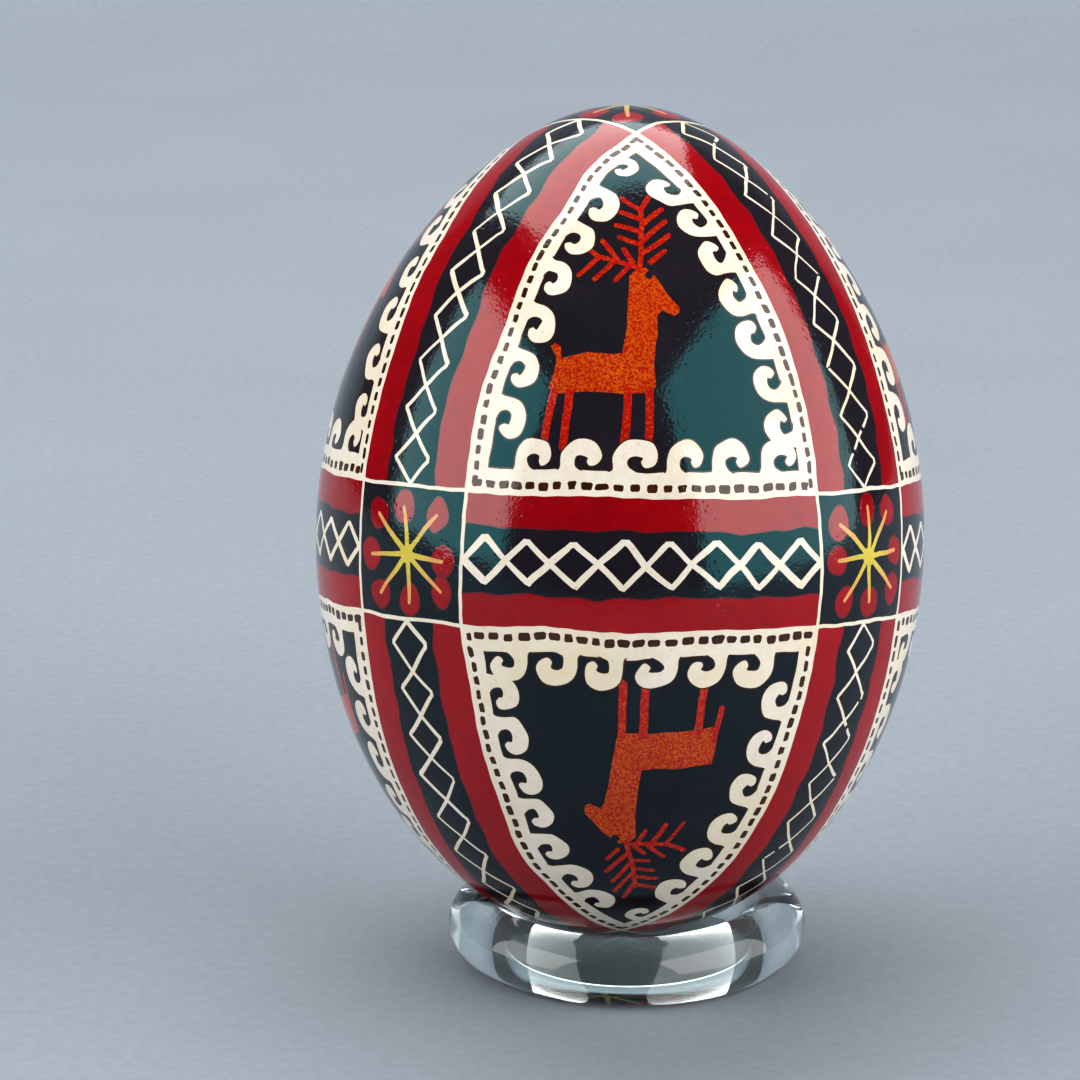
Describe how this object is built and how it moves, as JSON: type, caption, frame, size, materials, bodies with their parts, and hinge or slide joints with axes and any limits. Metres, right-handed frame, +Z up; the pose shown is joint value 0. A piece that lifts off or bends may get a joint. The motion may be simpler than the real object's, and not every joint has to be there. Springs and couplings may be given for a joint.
{
  "type": "decorated egg",
  "caption": "Hen's egg with wax-resist folk decoration of deer, stars, scrolls and diamond bands, standing blunt end down in a clear glass ring.",
  "frame": {"origin": "centre of the glass ring's foot, on the table", "axes": "+Z up, -Y out of the egg's front, +X to the viewer's right when facing that front"},
  "size_m": [0.0439, 0.0444, 0.0621],
  "materials": {
    "clear_glass": "polished",
    "varnish": "gloss",
    "bare_shell": "gloss",
    "dye_black": "gloss",
    "dye_red": "gloss",
    "dye_orange": "gloss",
    "dye_yellow": "gloss",
    "membrane": "matte",
    "dried_white": "satin",
    "dried_yolk": "matte"
  },
  "bodies": {
    "ring": {"ring_stand": "clear_glass"},
    "egg": {"varnish": "varnish", "shell": "bare_shell", "outer_membrane": "membrane", "inner_membrane": "membrane", "dried_white": "dried_white"},
    "yolk": {"dried_yolk": "dried_yolk"}
  },
  "joints": [
    {"name": "egg_lift", "type": "slide", "parent": "ring", "child": "egg", "axis": [0, 0, 1], "range_m": [0, 0.02]},
    {"name": "yolk_rattle", "type": "slide", "parent": "egg", "child": "yolk", "axis": [0.0138, 0.1582, 0.9873], "range_m": [0, 0.025]}
  ]
}
